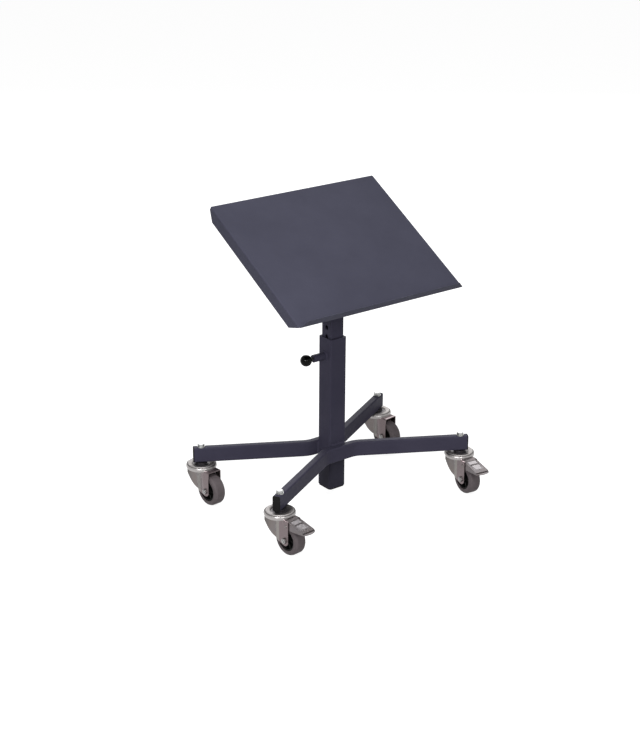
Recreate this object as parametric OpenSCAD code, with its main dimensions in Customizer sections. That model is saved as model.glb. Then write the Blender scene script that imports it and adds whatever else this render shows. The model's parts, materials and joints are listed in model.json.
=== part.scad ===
// Mobile tilting work stand. Millimetres, +Z up, the floor at Z = 0, the front at -Y.
// The sloping table clamps to a mast that slides in a square post on two bent leg tubes.

/* [Table] */
// Width of the table top, left to right
table_w = 510; // [400:5:700]
// Depth of the table top, measured along its slope
table_d = 420; // [320:5:560]
// Thickness of the table's sheet metal
table_sheet = 2; // [1.5:0.25:3]
// Slope of the table, down towards the front
table_tilt = 30; // [0:1:45]
// Depth of the folded side and back edges, from the top face
edge_h = 31; // [20:1:45]
// Height of the front stop lip above the top face
lip_h = 18; // [10:1:40]
// Outer bend radius of the folded edges
fold_r = 3; // [2.5:0.25:5]
// Depth of the square end of an edge at the back corners
back_end = 8.5; // [4:0.5:14]
// Depth of the square end of an edge at the front corners
front_end = 2.5; // [2.5:0.5:8]

/* [Tilt head] */
// Height of the pivot above the floor
pivot_z = 642.7; // [600:0.1:700]
// Highest slope that the clamp slot allows
tilt_max = 45; // [45:1:55]
// Room between the pivot and the inside of the bracket's back
head_room = 28.2; // [27.5:0.1:40]
// Thickness of the bracket's folded plate
bracket_t = 4; // [3:0.5:6]
// Reach of the bracket in front of the pivot
bracket_front = 75; // [60:1:100]
// Reach of the bracket behind the pivot
bracket_rear = 60; // [45:1:80]
// Thickness of the stiffening plate under the table
plate_t = 3; // [2:0.5:5]
// Width of the stiffening plate
plate_w = 200; // [120:5:300]
// Depth of the stiffening plate
plate_d = 170; // [140:5:260]
// Diameter of the pivot bolt
pivot_d = 12; // [10:1:14]
// Diameter of the clamp bolt
clamp_d = 10; // [8:1:12]
// Distance from the pivot down to the clamp bolt
clamp_reach = 55; // [50:1:70]
// Thickness of the friction washers beside the mast
friction_t = 2.4; // [1.5:0.1:4]
// Radius of the friction washers
friction_r = 14; // [12:0.5:16]
// Length of the clamp lever's arm
lever_len = 58; // [45:1:62]

/* [Mast] */
// Width of the square mast tube
mast_w = 40; // [36:1:41]
// Wall of the mast tube
mast_wall = 3; // [2:0.25:4]
// Corner radius of the mast tube
mast_corner = 6; // [3.25:0.25:6.5]
// Length of the mast tube
mast_len = 534; // [480:1:535]
// Length of tube above the pivot
mast_over = 14; // [13.5:0.1:14.5]
// Spacing of the height holes
hole_pitch = 25; // [20:1:30]
// How many height holes the mast has
hole_count = 12; // [6:1:12]

/* [Post] */
// Width of the square outer post
post_w = 50; // [49.5:0.5:56]
// Wall of the outer post
post_wall = 4; // [3:0.25:4]
// Corner radius of the outer post
post_corner = 8; // [5:0.25:8]
// Length of the outer post tube
post_len = 412; // [380:1:440]
// Height of the post's foot above the floor
post_foot = 21; // [10:1:40]
// Length of the guide bush in the post's mouth
bush_len = 34; // [20:1:38]
// Distance from the post's top down to the locking plunger
plunger_drop = 48; // [46:1:70]

/* [Locking plunger] */
// Outer diameter of the welded boss
boss_d = 20; // [18:0.5:26]
// Length of the welded boss
boss_len = 37; // [34:1:44]
// Diameter of the locking pin
pin_d = 12; // [10:0.5:13]
// Diameter of the pin's pull rod
rod_d = 8; // [6:0.5:8.5]
// How far the pin goes in to lock a height hole
pin_travel = 7; // [5:0.5:8]
// Diameter of the ball knob
knob_d = 30; // [24:1:36]
// Wire thickness of the plunger's spring
spring_wire = 1.2; // [0.8:0.1:1.3]

/* [Legs] */
// Width of the leg tube
leg_w = 20; // [16:1:30]
// Height of the leg tube
leg_h = 40; // [30:1:60]
// Wall of the leg tube
leg_wall = 2; // [1.5:0.25:3]
// Corner radius of the leg tube
leg_corner = 4; // [2.25:0.25:4.5]
// Half length of the leg's straight middle, from the post's axis to the bend
leg_middle = 32; // [28:1:60]
// Bend radius of the leg's centre line
bend_r = 60; // [40:1:90]
// Angle of each bend
leg_turn = 29.1; // [15:0.1:45]
// Length of the leg's arm from the bend to the caster bolt
leg_arm = 264; // [200:1:340]
// Length of leg past the caster bolt, with its cap
leg_tip = 21; // [18:0.5:40]

/* [Casters] */
// Diameter of the wheel
wheel_d = 80; // [70:1:100]
// Width of the wheel
wheel_w = 32; // [24:1:38]
// Thickness of the tyre
tyre_t = 12; // [8:0.5:14]
// Rounding of the tyre's shoulders
tyre_round = 7; // [3:0.5:8]
// Trail of the wheel behind the swivel axis
trail = 40; // [36:1:48]
// Gap from the wheel's side to the fork
wheel_side_gap = 2.5; // [2:0.25:4]
// Gap from the wheel's top to the fork's crown
crown_gap = 12.3; // [11:0.1:18]
// Sheet thickness of the fork
fork_sheet = 2; // [1.5:0.25:3]
// Reach of the fork behind the swivel axis
fork_back = 33; // [28:0.5:36]
// Reach of the fork in front of the axle
fork_front = 13; // [11:0.5:18]
// Distance of the fork's crease behind the swivel axis
fork_crease = 10; // [4:0.5:16]
// Angle at which the fork's cheeks turn in at the crease
fork_taper = 4; // [1:0.5:5]
// Radius at which the cheeks curve in behind the crease
fork_bend_r = 150; // [120:5:300]
// Radius of the fork round the axle
eye_r = 13.5; // [11:0.5:16]
// Radius of the swivel head
rim_r = 39.5; // [38.5:0.25:46]
// Diameter of the caster bolt
bolt_d = 10; // [10:1:12]
// Diameter of the axle bolt
axle_d = 8; // [6:0.5:12]
// Direction of the front left caster's trail
front_left_turn = -85; // [-180:0.5:180]
// Direction of the front right caster's trail
front_right_turn = -97; // [-180:0.5:180]
// Direction of the rear left caster's trail
rear_left_turn = -85.5; // [-180:0.5:180]
// Direction of the rear right caster's trail
rear_right_turn = -83; // [-180:0.5:180]

/* [Brake pedals] */
// Reach of the pedal's tip from the swivel axis
pedal_reach = 113; // [100:1:125]
// Sheet thickness of the pedal
pedal_sheet = 1.5; // [1:0.25:2]
// Half width of the pedal's tread
tread_half = 19.5; // [18:0.5:24]

/* [Fits] */
// Radial clearance of a part that turns or slides on its pin
run_gap = 0.08; // [0.05:0.01:0.1]
// Clearance of a part that slides beside a flat face
slide_gap = 0.2; // [0.1:0.05:0.3]
// Radial clearance of a bolt in a drilled hole
drill_gap = 0.25; // [0.15:0.05:0.5]

/* [Hidden] */
$fn = 64;

// Overcut of every drilled hole and cut
cut = 1;

// Hairline between a tyre and its core
bond_gap = 0.1;

// Stack of a caster's swivel head, measured down from the leg's underside
hub_r = 15;
hub_drop = 4.5;
dish_drop = 5.6;
dish_r = 21;
recess_r = 24;
recess_drop = 3.6;
crown_in = 27;
crown_drop = 2.7;
disc_sheet = 2;
disc_gap = 0.8;
rim_top = 5.5;
rim_bottom = 15.6;
rim_wall = 2.2;
rim_bulge = 9;
plate_drop = 11.7;
sleeve_r = bolt_d / 2 + 3;
sleeve_drop = 24;
keeper_r = sleeve_r + 5;
keeper_t = 2.5;
keeper_drop = plate_drop + fork_sheet + slide_gap;
disc_r = rim_r - rim_wall - disc_gap;
ball_r = 3.2;
ball_count = 16;
ball_ring = 30;
fork_fold = fork_sheet + 1;

// Lower edge of the fork's side, measured from the axle
heel_rise = 29;
heel_bow = 3.4;
eye_start = 30;
eye_start_drop = 1.5;
eye_foot_drop = 6;
toe_drop = 2;
centre_lap = 3;

// Wheel core
hub_wall = 6;
web_half = 3;
core_rim = 3.5;
rim_inset = 2;
rib_t = 2.5;
rib_inset = 3;

caster_h = plate_drop + fork_sheet + crown_gap + wheel_d;
axle_drop = caster_h - wheel_d / 2;
fork_w = wheel_w + 2 * wheel_side_gap + 2 * fork_sheet;
fork_in = fork_w / 2 - fork_sheet;
post_y = (pedal_reach - rim_r) / 2;

// Brake pedal, measured from the swivel axis and down from the leg's underside
pedal_start = rim_r + 1;
pedal_pivot_t = trail + 4;
pedal_pivot_drop = plate_drop + fork_sheet + crown_gap + 1;
pedal_top = plate_drop - 0.1;
pedal_fall = 14.9;
lip_len = 9;
lip_step = 2.6;
lip_start = pedal_reach - lip_len;
pedal_slope = atan((pedal_fall - lip_step) / (lip_start - pedal_start));
pedal_in = fork_in - slide_gap;
pedal_flare = trail + fork_front + 1.5;
pedal_eye_r = 8.5;
skirt_drop = 33.5;
skirt_turn = 20;
skirt_hem = 0.5;
tread_corner = 5;
tip_r = 32;
stamp_spans = [[54, 67], [72, 92]];
stamp_half = 13.5;
stamp_taper = 0.12;
stamp_groove = 2;
stamp_depth = 0.8;
shoe_turn = 58;
shoe_gap = 5.5;
shoe_len = 9;
shoe_w = 20;
rivet_r = 3;
rivet_head_r = 4.5;
rivet_head_t = 0.5;

// Nut and bolt head sizes from the thread diameter
function across(d) = 1.55 * d;
function head_height(d) = 0.63 * d;
function nut_height(d) = 0.82 * d;
function washer_r(d) = d;
washer_t = 2.5;

leg_y = post_w / 2 + leg_w / 2;
leg_bottom = caster_h;
leg_mid = leg_bottom + leg_h / 2;
leg_in_corner = max(leg_corner - leg_wall, 0.5);
bolt_x = leg_middle + bend_r * sin(leg_turn) + leg_arm * cos(leg_turn);
bolt_y = leg_y + bend_r * (1 - cos(leg_turn)) + leg_arm * sin(leg_turn);
spacer_r = bolt_d / 2 + 1.5;
cap_t = 2.5;
cap_plug = leg_tip - cap_t - spacer_r - 1;
cap_chamfer = 0.8;

foot_cap_t = 3;
foot_plug = 12;
post_bottom = post_foot + foot_cap_t;
post_top = post_bottom + post_len;
post_hollow = post_w - 2 * post_wall;
post_in_corner = max(post_corner - post_wall, 0.5);
plunger_z = post_top - plunger_drop;
mast_top = pivot_z + mast_over;
mast_bottom = mast_top - mast_len;
mast_hollow = mast_w - 2 * mast_wall;
mast_in_corner = max(mast_corner - mast_wall, 0.5);
guide_t = 10;
guide_plug = 20;
guide_wall = 3;
top_cap_t = 2.5;
top_plug = 3.5;

bracket_in = mast_w / 2 + friction_t + slide_gap / 2;
bracket_out = bracket_in + bracket_t;
bracket_fold = bracket_t + 2;
top_h = head_room + bracket_t + plate_t + table_sheet;
slot_r = clamp_d / 2 + 0.5;
cheek_r = clamp_reach + slot_r + 8;
stack_x = bracket_out + slide_gap / 2;
clamp_x = stack_x + washer_t;

// The plunger is drawn back until its tip is just clear of the mast
pin_tip = mast_w / 2 + 0.5;
boss_wall = 5;
boss_end = post_w / 2 + boss_len;
pin_shoulder = pin_tip + 23.5;
spring_room = boss_end - boss_wall - pin_shoulder;
spring_r = (rod_d + pin_d) / 4;
spring_turns = 5;
knob_clear = 2;
knob_base = boss_end + pin_travel + knob_clear;
knob_x = knob_base + 0.87 * knob_d / 2;
knob_bore = 16;

// Outline of a rectangle with round corners
module rounded_rect(w, h, r) {
  square([w - 2 * r, h], center = true);
  square([w, h - 2 * r], center = true);
  for (x = [-1, 1], y = [-1, 1])
    translate([x * (w / 2 - r), y * (h / 2 - r)]) circle(r = r);
}

// Section of a rectangular tube
module tube_section(w, h, wall, r) {
  difference() {
    rounded_rect(w, h, r);
    rounded_rect(w - 2 * wall, h - 2 * wall, max(r - wall, 0.5));
  }
}

// Quarter ring of a sheet metal fold, from +X round to +Y
module fold_section(r, sheet) {
  intersection() {
    difference() {
      circle(r = r);
      circle(r = r - sheet);
    }
    square(r + cut);
  }
}

// Section of a sheet folded into a U that opens downwards, with its outer fold radius
module folded_u(half, sheet, top, low, r) {
  inner = half - sheet;
  inner_r = r - sheet;
  difference() {
    union() {
      translate([-half, low]) square([2 * half, top - r - low]);
      translate([r - half, low]) square([2 * (half - r), top - low]);
      for (x = [-1, 1]) translate([x * (half - r), top - r]) circle(r = r);
    }
    translate([-inner, low - cut]) square([2 * inner, top - r - low + cut]);
    translate([inner_r - inner, low]) square([2 * (inner - inner_r), top - sheet - low]);
    for (x = [-1, 1]) translate([x * (inner - inner_r), top - r]) circle(r = inner_r);
  }
}

// Extrusions along X and along Y of an outline drawn with +Z up
module along_x(length) rotate([90, 0, 90]) linear_extrude(length, center = true) children();
module along_y(length) rotate([90, 0, 0]) linear_extrude(length, center = true) children();

// Hexagon of a bolt head or nut, with its corners turned off at both ends
module hex_head(d, height) {
  face_r = 0.475 * across(d);
  wide_r = face_r + height / tan(30);
  intersection() {
    cylinder(d = across(d) / cos(30), h = height, $fn = 6);
    cylinder(r1 = face_r, r2 = wide_r, h = height);
    cylinder(r1 = wide_r, r2 = face_r, h = height);
  }
}

module washer(d, r) {
  difference() {
    cylinder(r = r, h = washer_t);
    translate([0, 0, -cut]) cylinder(d = d + 2 * drill_gap, h = washer_t + 2 * cut);
  }
}

module sleeve(d, r, length) {
  difference() {
    cylinder(r = r, h = length, center = true);
    cylinder(d = d + 2 * drill_gap, h = length + 2 * cut, center = true);
  }
}

// Points of a shallow arc from p to q that bulges to the right of that direction
function bulge_arc(p, q, bulge, steps) = [
  for (i = [0 : steps])
    p + (q - p) * i / steps
    + bulge * sin(180 * i / steps) * [q[1] - p[1], p[0] - q[0]] / norm(q - p)
];

// Frames: the post's axis, the tilted table, the head's bolts and each caster bolt
module stand() translate([0, post_y, 0]) children();
module on_table() stand() translate([0, 0, pivot_z]) rotate([table_tilt, 0, 0]) children();
module on_pivot() stand() translate([0, 0, pivot_z]) rotate([0, 90, 0]) children();
module on_clamp() stand() translate([0, 0, pivot_z - clamp_reach]) rotate([0, 90, 0]) children();
module on_plunger() stand() translate([0, 0, plunger_z]) rotate([0, -90, 0]) children();
module at_bolt(x, y, turn)
  stand() translate([x * bolt_x, y * bolt_y, leg_bottom]) rotate(turn) children();
module each_bolt() for (x = [-1, 1], y = [-1, 1]) at_bolt(x, y, -x * y * leg_turn) children();
module front_left() at_bolt(-1, -1, front_left_turn) children();
module front_right() at_bolt(1, -1, front_right_turn) children();
module rear_left() at_bolt(-1, 1, rear_left_turn) children();
module rear_right() at_bolt(1, 1, rear_right_turn) children();
module at_axle() translate([trail, 0, -axle_drop]) rotate([90, 0, 0]) children();

// Solid bar along a leg's centre line: straight middle, two bends and two arms.
// The tube draws in a little at a bend, and the straight runs lap into it.
module leg_bar(w, h, r, longer) {
  draw_in = 0.05;
  lap = 1;
  arm = lap + leg_arm + leg_tip - cap_t + longer;
  translate([0, -leg_y, leg_mid]) {
    along_x(2 * (leg_middle + lap)) rounded_rect(w, h, r);
    for (x = [0, 1])
      mirror([x, 0, 0])
        translate([leg_middle, -bend_r, 0]) {
          rotate(90)
            rotate_extrude(angle = -leg_turn)
              translate([bend_r, 0]) rounded_rect(w - 2 * draw_in, h - 2 * draw_in, r - draw_in);
          rotate(-leg_turn) translate([arm / 2 - lap, bend_r, 0]) along_x(arm) rounded_rect(w, h, r);
        }
  }
}

module bent_leg() {
  difference() {
    leg_bar(leg_w, leg_h, leg_corner, 0);
    leg_bar(leg_w - 2 * leg_wall, leg_h - 2 * leg_wall, leg_in_corner, cut);
    for (x = [-1, 1])
      translate([x * bolt_x, -bolt_y, leg_bottom - cut])
        cylinder(d = bolt_d + 2 * drill_gap, h = leg_h + 2 * cut);
  }
}

module front_leg_tube() color("dimgray") stand() bent_leg();
module rear_leg_tube() color("dimgray") stand() mirror([0, 1, 0]) bent_leg();

// Plastic end cap: a chamfered face and a hollow plug
module leg_cap() {
  along_x(cap_t - cap_chamfer) rounded_rect(leg_w, leg_h, leg_corner);
  translate([cap_t / 2, 0, 0])
    along_x(cap_chamfer)
      rounded_rect(leg_w - 2 * cap_chamfer, leg_h - 2 * cap_chamfer, leg_corner - cap_chamfer);
  translate([-(cap_plug + cap_t - cap_chamfer) / 2, 0, 0])
    along_x(cap_plug)
      tube_section(
        leg_w - 2 * leg_wall - slide_gap, leg_h - 2 * leg_wall - slide_gap, leg_wall, leg_in_corner
      );
}

module leg_end_caps() {
  color("black")
    for (x = [-1, 1], y = [-1, 1])
      stand()
        translate([x * bolt_x, y * bolt_y, leg_mid])
          rotate(y * x * leg_turn + (x < 0 ? 180 : 0))
            translate([leg_tip - (cap_t + cap_chamfer) / 2, 0, 0]) leg_cap();
}

// Spacers that keep the caster bolts from crushing the tubes
module leg_spacers() {
  color("silver")
    each_bolt() translate([0, 0, leg_h / 2]) sleeve(bolt_d, spacer_r, leg_h - 2 * leg_wall);
}

module outer_post() {
  color("dimgray")
    stand()
      difference() {
        translate([0, 0, post_bottom])
          linear_extrude(post_len) tube_section(post_w, post_w, post_wall, post_corner);
        translate([-post_w / 2 - cut, 0, plunger_z])
          rotate([0, 90, 0]) cylinder(d = pin_d + 2 * drill_gap, h = post_wall + 2 * cut);
      }
}

// Plastic liner in the post's mouth, which guides the mast
module guide_bush() {
  color("black")
    stand()
      translate([0, 0, post_top - bush_len])
        linear_extrude(bush_len)
          difference() {
            rounded_rect(post_hollow, post_hollow, post_in_corner);
            rounded_rect(mast_w + 2 * slide_gap, mast_w + 2 * slide_gap, mast_corner + slide_gap);
          }
}

module post_foot_cap() {
  color("black")
    stand() {
      translate([0, 0, post_foot])
        linear_extrude(foot_cap_t) rounded_rect(post_w, post_w, post_corner);
      translate([0, 0, post_bottom])
        linear_extrude(foot_plug)
          tube_section(post_hollow - slide_gap, post_hollow - slide_gap, post_wall, post_in_corner);
    }
}

// Boss of the locking plunger: a bore for the pin and an end wall for its spring
module plunger_boss() {
  color("dimgray")
    on_plunger()
      difference() {
        translate([0, 0, post_w / 2]) cylinder(d = boss_d, h = boss_len);
        translate([0, 0, post_w / 2 - cut])
          cylinder(r = pin_d / 2 + run_gap, h = boss_len - boss_wall + cut);
        translate([0, 0, post_w / 2]) cylinder(r = rod_d / 2 + run_gap, h = boss_len + cut);
      }
}

// Coil spring: rings of points along a helix, joined into one tube
module plunger_spring() {
  sides = 6;
  steps = 24 * spring_turns;
  wire = spring_wire / 2;
  rise = spring_room - spring_wire - 2 * slide_gap;
  points = [
    for (i = [0 : steps], j = [0 : sides - 1])
      let (a = 360 * spring_turns * i / steps, b = 360 * j / sides, r = spring_r + wire * cos(b))
        [r * cos(a), r * sin(a), rise * i / steps + wire * sin(b)]
  ];
  sleeve_faces = [
    for (i = [0 : steps - 1], j = [0 : sides - 1])
      let (k = (j + 1) % sides, near = i * sides, far = near + sides)
        each [[near + j, near + k, far + k], [near + j, far + k, far + j]]
  ];
  first_end = [for (j = [1 : sides - 2]) [j + 1, j, 0]];
  last_end = [for (j = [1 : sides - 2]) [0, j, j + 1] + steps * sides * [1, 1, 1]];
  color("silver")
    on_plunger()
      translate([0, 0, pin_shoulder + slide_gap + spring_wire / 2])
        polyhedron(points, concat(sleeve_faces, first_end, last_end));
}

module leg_bolts() {
  length = leg_h + washer_t + sleeve_drop + nut_height(bolt_d) + 2;
  color("silver")
    each_bolt()
      translate([0, 0, leg_h + washer_t]) {
        hex_head(bolt_d, head_height(bolt_d));
        translate([0, 0, -length]) cylinder(d = bolt_d, h = length);
      }
}

module leg_washers() {
  color("silver") each_bolt() translate([0, 0, leg_h]) washer(bolt_d, leg_w / 2);
}

module caster_nuts() {
  color("silver")
    each_bolt()
      translate([0, 0, -sleeve_drop - nut_height(bolt_d)])
        difference() {
          hex_head(bolt_d, nut_height(bolt_d));
          translate([0, 0, -cut]) cylinder(d = bolt_d, h = nut_height(bolt_d) + 2 * cut);
        }
}

// Fixed half of the swivel: pressed upper race, king sleeve and keeper
module caster_head() {
  color("silver")
    difference() {
      rotate_extrude() {
        polygon([
          [0, 0], [hub_r, 0], [hub_r, -hub_drop], [dish_r, -dish_drop], [recess_r, -recess_drop],
          [crown_in, -crown_drop], [disc_r - 3, -crown_drop], [disc_r, -crown_drop - disc_sheet],
          [disc_r, -crown_drop - 2 * disc_sheet], [disc_r - disc_sheet, -crown_drop - disc_sheet],
          [crown_in, -crown_drop - disc_sheet], [recess_r, -recess_drop - disc_sheet],
          [dish_r, -dish_drop - disc_sheet], [sleeve_r, -dish_drop - disc_sheet],
          [sleeve_r, -keeper_drop], [keeper_r, -keeper_drop],
          [keeper_r, -keeper_drop - keeper_t], [sleeve_r, -keeper_drop - keeper_t],
          [sleeve_r, -sleeve_drop], [0, -sleeve_drop]
        ]);
      }
      translate([0, 0, -sleeve_drop - cut])
        cylinder(d = bolt_d + 2 * drill_gap, h = sleeve_drop + 2 * cut);
    }
}

module swivel_balls() {
  color("silver")
    for (i = [0 : ball_count - 1])
      rotate(360 * i / ball_count)
        translate([ball_ring, 0, -plate_drop + ball_r]) sphere(r = ball_r, $fn = 24);
}

// Side view of the fork: straight back edge, bowed lower edge, round eye, straight front edge
module fork_side() {
  back_low = [-fork_back, -axle_drop + heel_rise];
  eye_back = [trail - eye_start, -axle_drop - eye_start_drop];
  polygon(concat(
    [[trail + fork_front, -plate_drop], [-fork_back, -plate_drop]],
    bulge_arc(back_low, eye_back, heel_bow, 8),
    [[trail - eye_r * 2, -axle_drop - eye_foot_drop],
     [trail - eye_r * 0.5, -axle_drop - eye_r * 0.866],
     [trail + eye_r * 0.866, -axle_drop - eye_r * 0.5],
     [trail + fork_front, -axle_drop + toe_drop]]
  ));
  translate([trail, -axle_drop]) circle(r = eye_r);
}

module fork_section() {
  folded_u(fork_w / 2, fork_sheet, -plate_drop, -axle_drop - eye_r - cut, fork_fold);
}

// Folded sheet of the fork: flat in front of a crease, curving in behind it.
// The rear stands a hair inside the front, so that they cut each other cleanly.
module fork_shell() {
  hair = 0.05;
  front = trail + fork_front - fork_crease;
  translate([fork_crease + front / 2, 0, 0]) along_x(front) fork_section();
  for (y = [0, 1])
    mirror([0, y, 0])
      translate([fork_crease, fork_w / 2 - hair, 0])
        rotate(fork_taper)
          translate([0, -fork_bend_r, 0])
            rotate(89.85)
              rotate_extrude(angle = 30)
                translate([fork_bend_r - fork_w / 2, 0])
                  intersection() {
                    fork_section();
                    translate([-centre_lap, -axle_drop - 2 * eye_r])
                      square([fork_w, axle_drop + 2 * eye_r]);
                  }
}

// Pressed fork with its swivel cup; the braked one is open at the front for the pedal
module fork(braked) {
  color("silver")
    difference() {
      union() {
        intersection() {
          fork_shell();
          along_y(fork_w + 2 * cut) fork_side();
        }
        rotate_extrude() {
          translate([0, -plate_drop - fork_sheet]) square([rim_r - rim_wall, fork_sheet]);
          intersection() {
            translate([rim_r - rim_bulge, -(rim_top + rim_bottom) / 2]) circle(r = rim_bulge);
            translate([rim_r - rim_wall - 0.01, -rim_bottom])
              square([rim_wall + cut, rim_bottom - rim_top]);
          }
        }
      }
      translate([0, 0, -plate_drop - fork_sheet - cut])
        cylinder(r = sleeve_r + run_gap, h = fork_sheet + 2 * cut);
      at_axle() cylinder(d = axle_d + 2 * drill_gap, h = fork_w + 2 * cut, center = true);
      if (braked) {
        translate([rim_r - 0.5, -fork_in, -pedal_pivot_drop + 4])
          cube([trail + fork_front, 2 * fork_in, pedal_pivot_drop]);
        translate([pedal_pivot_t, 0, -pedal_pivot_drop])
          rotate([90, 0, 0]) cylinder(r = rivet_r + run_gap, h = fork_w + 2 * cut, center = true);
      }
    }
}

module axle() {
  half = fork_w / 2;
  color("silver")
    at_axle() {
      cylinder(d = axle_d, h = fork_w + 2 * nut_height(axle_d), center = true);
      translate([0, 0, half]) hex_head(axle_d, head_height(axle_d));
      translate([0, 0, -half - nut_height(axle_d)]) hex_head(axle_d, nut_height(axle_d));
    }
}

// Wheel core: hub, ribbed web and rim
module wheel_core() {
  core_r = wheel_d / 2 - tyre_t;
  hub = axle_d / 2 + hub_wall;
  rim_half = wheel_w / 2 - rim_inset;
  color("black")
    at_axle()
      difference() {
        union() {
          cylinder(r = hub, h = 2 * (fork_in - slide_gap), center = true);
          cylinder(r = core_r, h = 2 * web_half, center = true);
          difference() {
            cylinder(r = core_r, h = 2 * rim_half, center = true);
            cylinder(r = core_r - core_rim, h = 2 * rim_half + cut, center = true);
          }
          for (i = [0 : 5])
            rotate(60 * i)
              translate([hub - 1, -rib_t / 2, -rim_half + rib_inset])
                cube([core_r - hub - 1, rib_t, 2 * (rim_half - rib_inset)]);
        }
        cylinder(r = axle_d / 2 + run_gap, h = fork_w, center = true);
      }
}

module tyre() {
  core_r = wheel_d / 2 - tyre_t + bond_gap;
  color("gray")
    at_axle()
      rotate_extrude() {
        translate([core_r, -wheel_w / 2])
          square([wheel_d / 2 - tyre_round - core_r, wheel_w]);
        translate([core_r, -wheel_w / 2 + tyre_round])
          square([wheel_d / 2 - core_r, wheel_w - 2 * tyre_round]);
        intersection() {
          for (y = [-1, 1])
            translate([wheel_d / 2 - tyre_round, y * (wheel_w / 2 - tyre_round)])
              circle(r = tyre_round);
          translate([core_r, -wheel_w / 2]) square([tyre_t, wheel_w]);
        }
      }
}

// Plan of the pedal, drawn in by its sheet thickness for the inside of its skirt
module pedal_plan(inset) {
  slim = pedal_in - inset;
  wide = tread_half - inset;
  intersection() {
    polygon([
      [pedal_pivot_t - pedal_eye_r - cut - inset, -slim], [pedal_flare, -slim],
      [pedal_flare + tread_corner, -wide], [pedal_reach + cut, -wide], [pedal_reach + cut, wide],
      [pedal_flare + tread_corner, wide], [pedal_flare, slim],
      [pedal_pivot_t - pedal_eye_r - cut - inset, slim]
    ]);
    union() {
      translate([0, -tread_half - cut]) square([pedal_reach - tip_r, 2 * tread_half + 2 * cut]);
      translate([pedal_reach - tip_r, 0]) circle(r = tip_r - inset);
    }
  }
}

// Side view of the pedal's skirt and of its two ears
module pedal_side() {
  tip_drop = pedal_top + pedal_fall;
  polygon([
    [pedal_start, -pedal_top], [lip_start, -tip_drop + lip_step], [lip_start, -tip_drop],
    [pedal_reach, -tip_drop], [pedal_reach, -tip_drop - pedal_sheet - skirt_hem],
    [pedal_pivot_t + skirt_turn, -skirt_drop], [pedal_pivot_t, -pedal_pivot_drop - pedal_eye_r],
    [pedal_start, -pedal_pivot_drop]
  ]);
  translate([pedal_pivot_t, -pedal_pivot_drop]) circle(r = pedal_eye_r);
}

// Side view of the pedal's tread, with the step down to its lip
module tread_side() {
  tip_drop = pedal_top + pedal_fall;
  inner = lip_start - pedal_sheet;
  polygon([
    [pedal_start, -pedal_top], [lip_start, -tip_drop + lip_step], [lip_start, -tip_drop],
    [pedal_reach, -tip_drop], [pedal_reach, -tip_drop - pedal_sheet],
    [inner, -tip_drop - pedal_sheet], [inner, -tip_drop + lip_step - pedal_sheet],
    [pedal_start, -pedal_top - pedal_sheet]
  ]);
}

// Plan of a stamped panel of the tread, narrower towards the tip
module stamp_plan(span, grow) {
  near = stamp_half - stamp_taper * (span[0] - stamp_spans[0][0]) + grow;
  far = stamp_half - stamp_taper * (span[1] - stamp_spans[0][0]) + grow;
  polygon([
    [span[0] - grow, -near], [span[1] + grow, -far], [span[1] + grow, far], [span[0] - grow, near]
  ]);
}

module pedal() {
  shoe_r = wheel_d / 2 + shoe_gap;
  shoe = [trail + shoe_r * cos(shoe_turn), -axle_drop + shoe_r * sin(shoe_turn)];
  shoe_under = pedal_top + (shoe[0] - pedal_start) * tan(pedal_slope) + pedal_sheet * 0.9;
  color("silver") {
    difference() {
      intersection() {
        translate([0, 0, -axle_drop]) linear_extrude(axle_drop) difference() {
          pedal_plan(0);
          pedal_plan(pedal_sheet);
        }
        along_y(2 * tread_half + 2 * cut) pedal_side();
      }
      translate([pedal_pivot_t, 0, -pedal_pivot_drop])
        rotate([90, 0, 0]) cylinder(r = rivet_r + run_gap, h = fork_w + 2 * cut, center = true);
    }
    difference() {
      intersection() {
        translate([0, 0, -axle_drop]) linear_extrude(axle_drop) pedal_plan(0);
        along_y(2 * tread_half + 2 * cut) tread_side();
      }
      translate([pedal_start, 0, -pedal_top])
        rotate([0, pedal_slope, 0])
          translate([-pedal_start, 0, -stamp_depth])
            for (span = stamp_spans)
              linear_extrude(stamp_depth + cut) difference() {
                stamp_plan(span, stamp_groove);
                stamp_plan(span, 0);
              }
    }
    translate([shoe[0] - 1, -shoe_w / 2, shoe[1]])
      cube([pedal_sheet, shoe_w, -shoe_under - shoe[1]]);
    translate([shoe[0] - shoe_len / 2, -shoe_w / 2, shoe[1]]) cube([shoe_len, shoe_w, pedal_sheet]);
  }
}

// Two short rivets that hinge the pedal's ears inside the fork
module pedal_rivets() {
  inner = pedal_in - pedal_sheet - rivet_head_t - slide_gap / 2;
  color("silver")
    for (y = [-1, 1])
      translate([pedal_pivot_t, 0, -pedal_pivot_drop])
        rotate([y * 90, 0, 0]) {
          translate([0, 0, inner]) cylinder(r = rivet_r, h = fork_w / 2 - inner);
          translate([0, 0, inner]) cylinder(r = rivet_head_r, h = rivet_head_t);
          translate([0, 0, fork_w / 2]) cylinder(r1 = rivet_head_r, r2 = rivet_r, h = 1.2);
        }
}

module inner_post() {
  color("dimgray")
    stand()
      difference() {
        translate([0, 0, mast_bottom])
          linear_extrude(mast_len) tube_section(mast_w, mast_w, mast_wall, mast_corner);
        for (i = [0 : hole_count - 1])
          translate([-mast_w / 2 - cut, 0, plunger_z + hole_pitch * (3 - i)])
            rotate([0, 90, 0]) cylinder(d = pin_d + 2 * drill_gap, h = mast_wall + 2 * cut);
        translate([0, 0, pivot_z])
          rotate([0, 90, 0]) cylinder(d = pivot_d + 2 * drill_gap, h = mast_w + 2 * cut, center = true);
        translate([0, 0, pivot_z - clamp_reach])
          rotate([0, 90, 0]) cylinder(d = clamp_d + 2 * drill_gap, h = mast_w + 2 * cut, center = true);
      }
}

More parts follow.
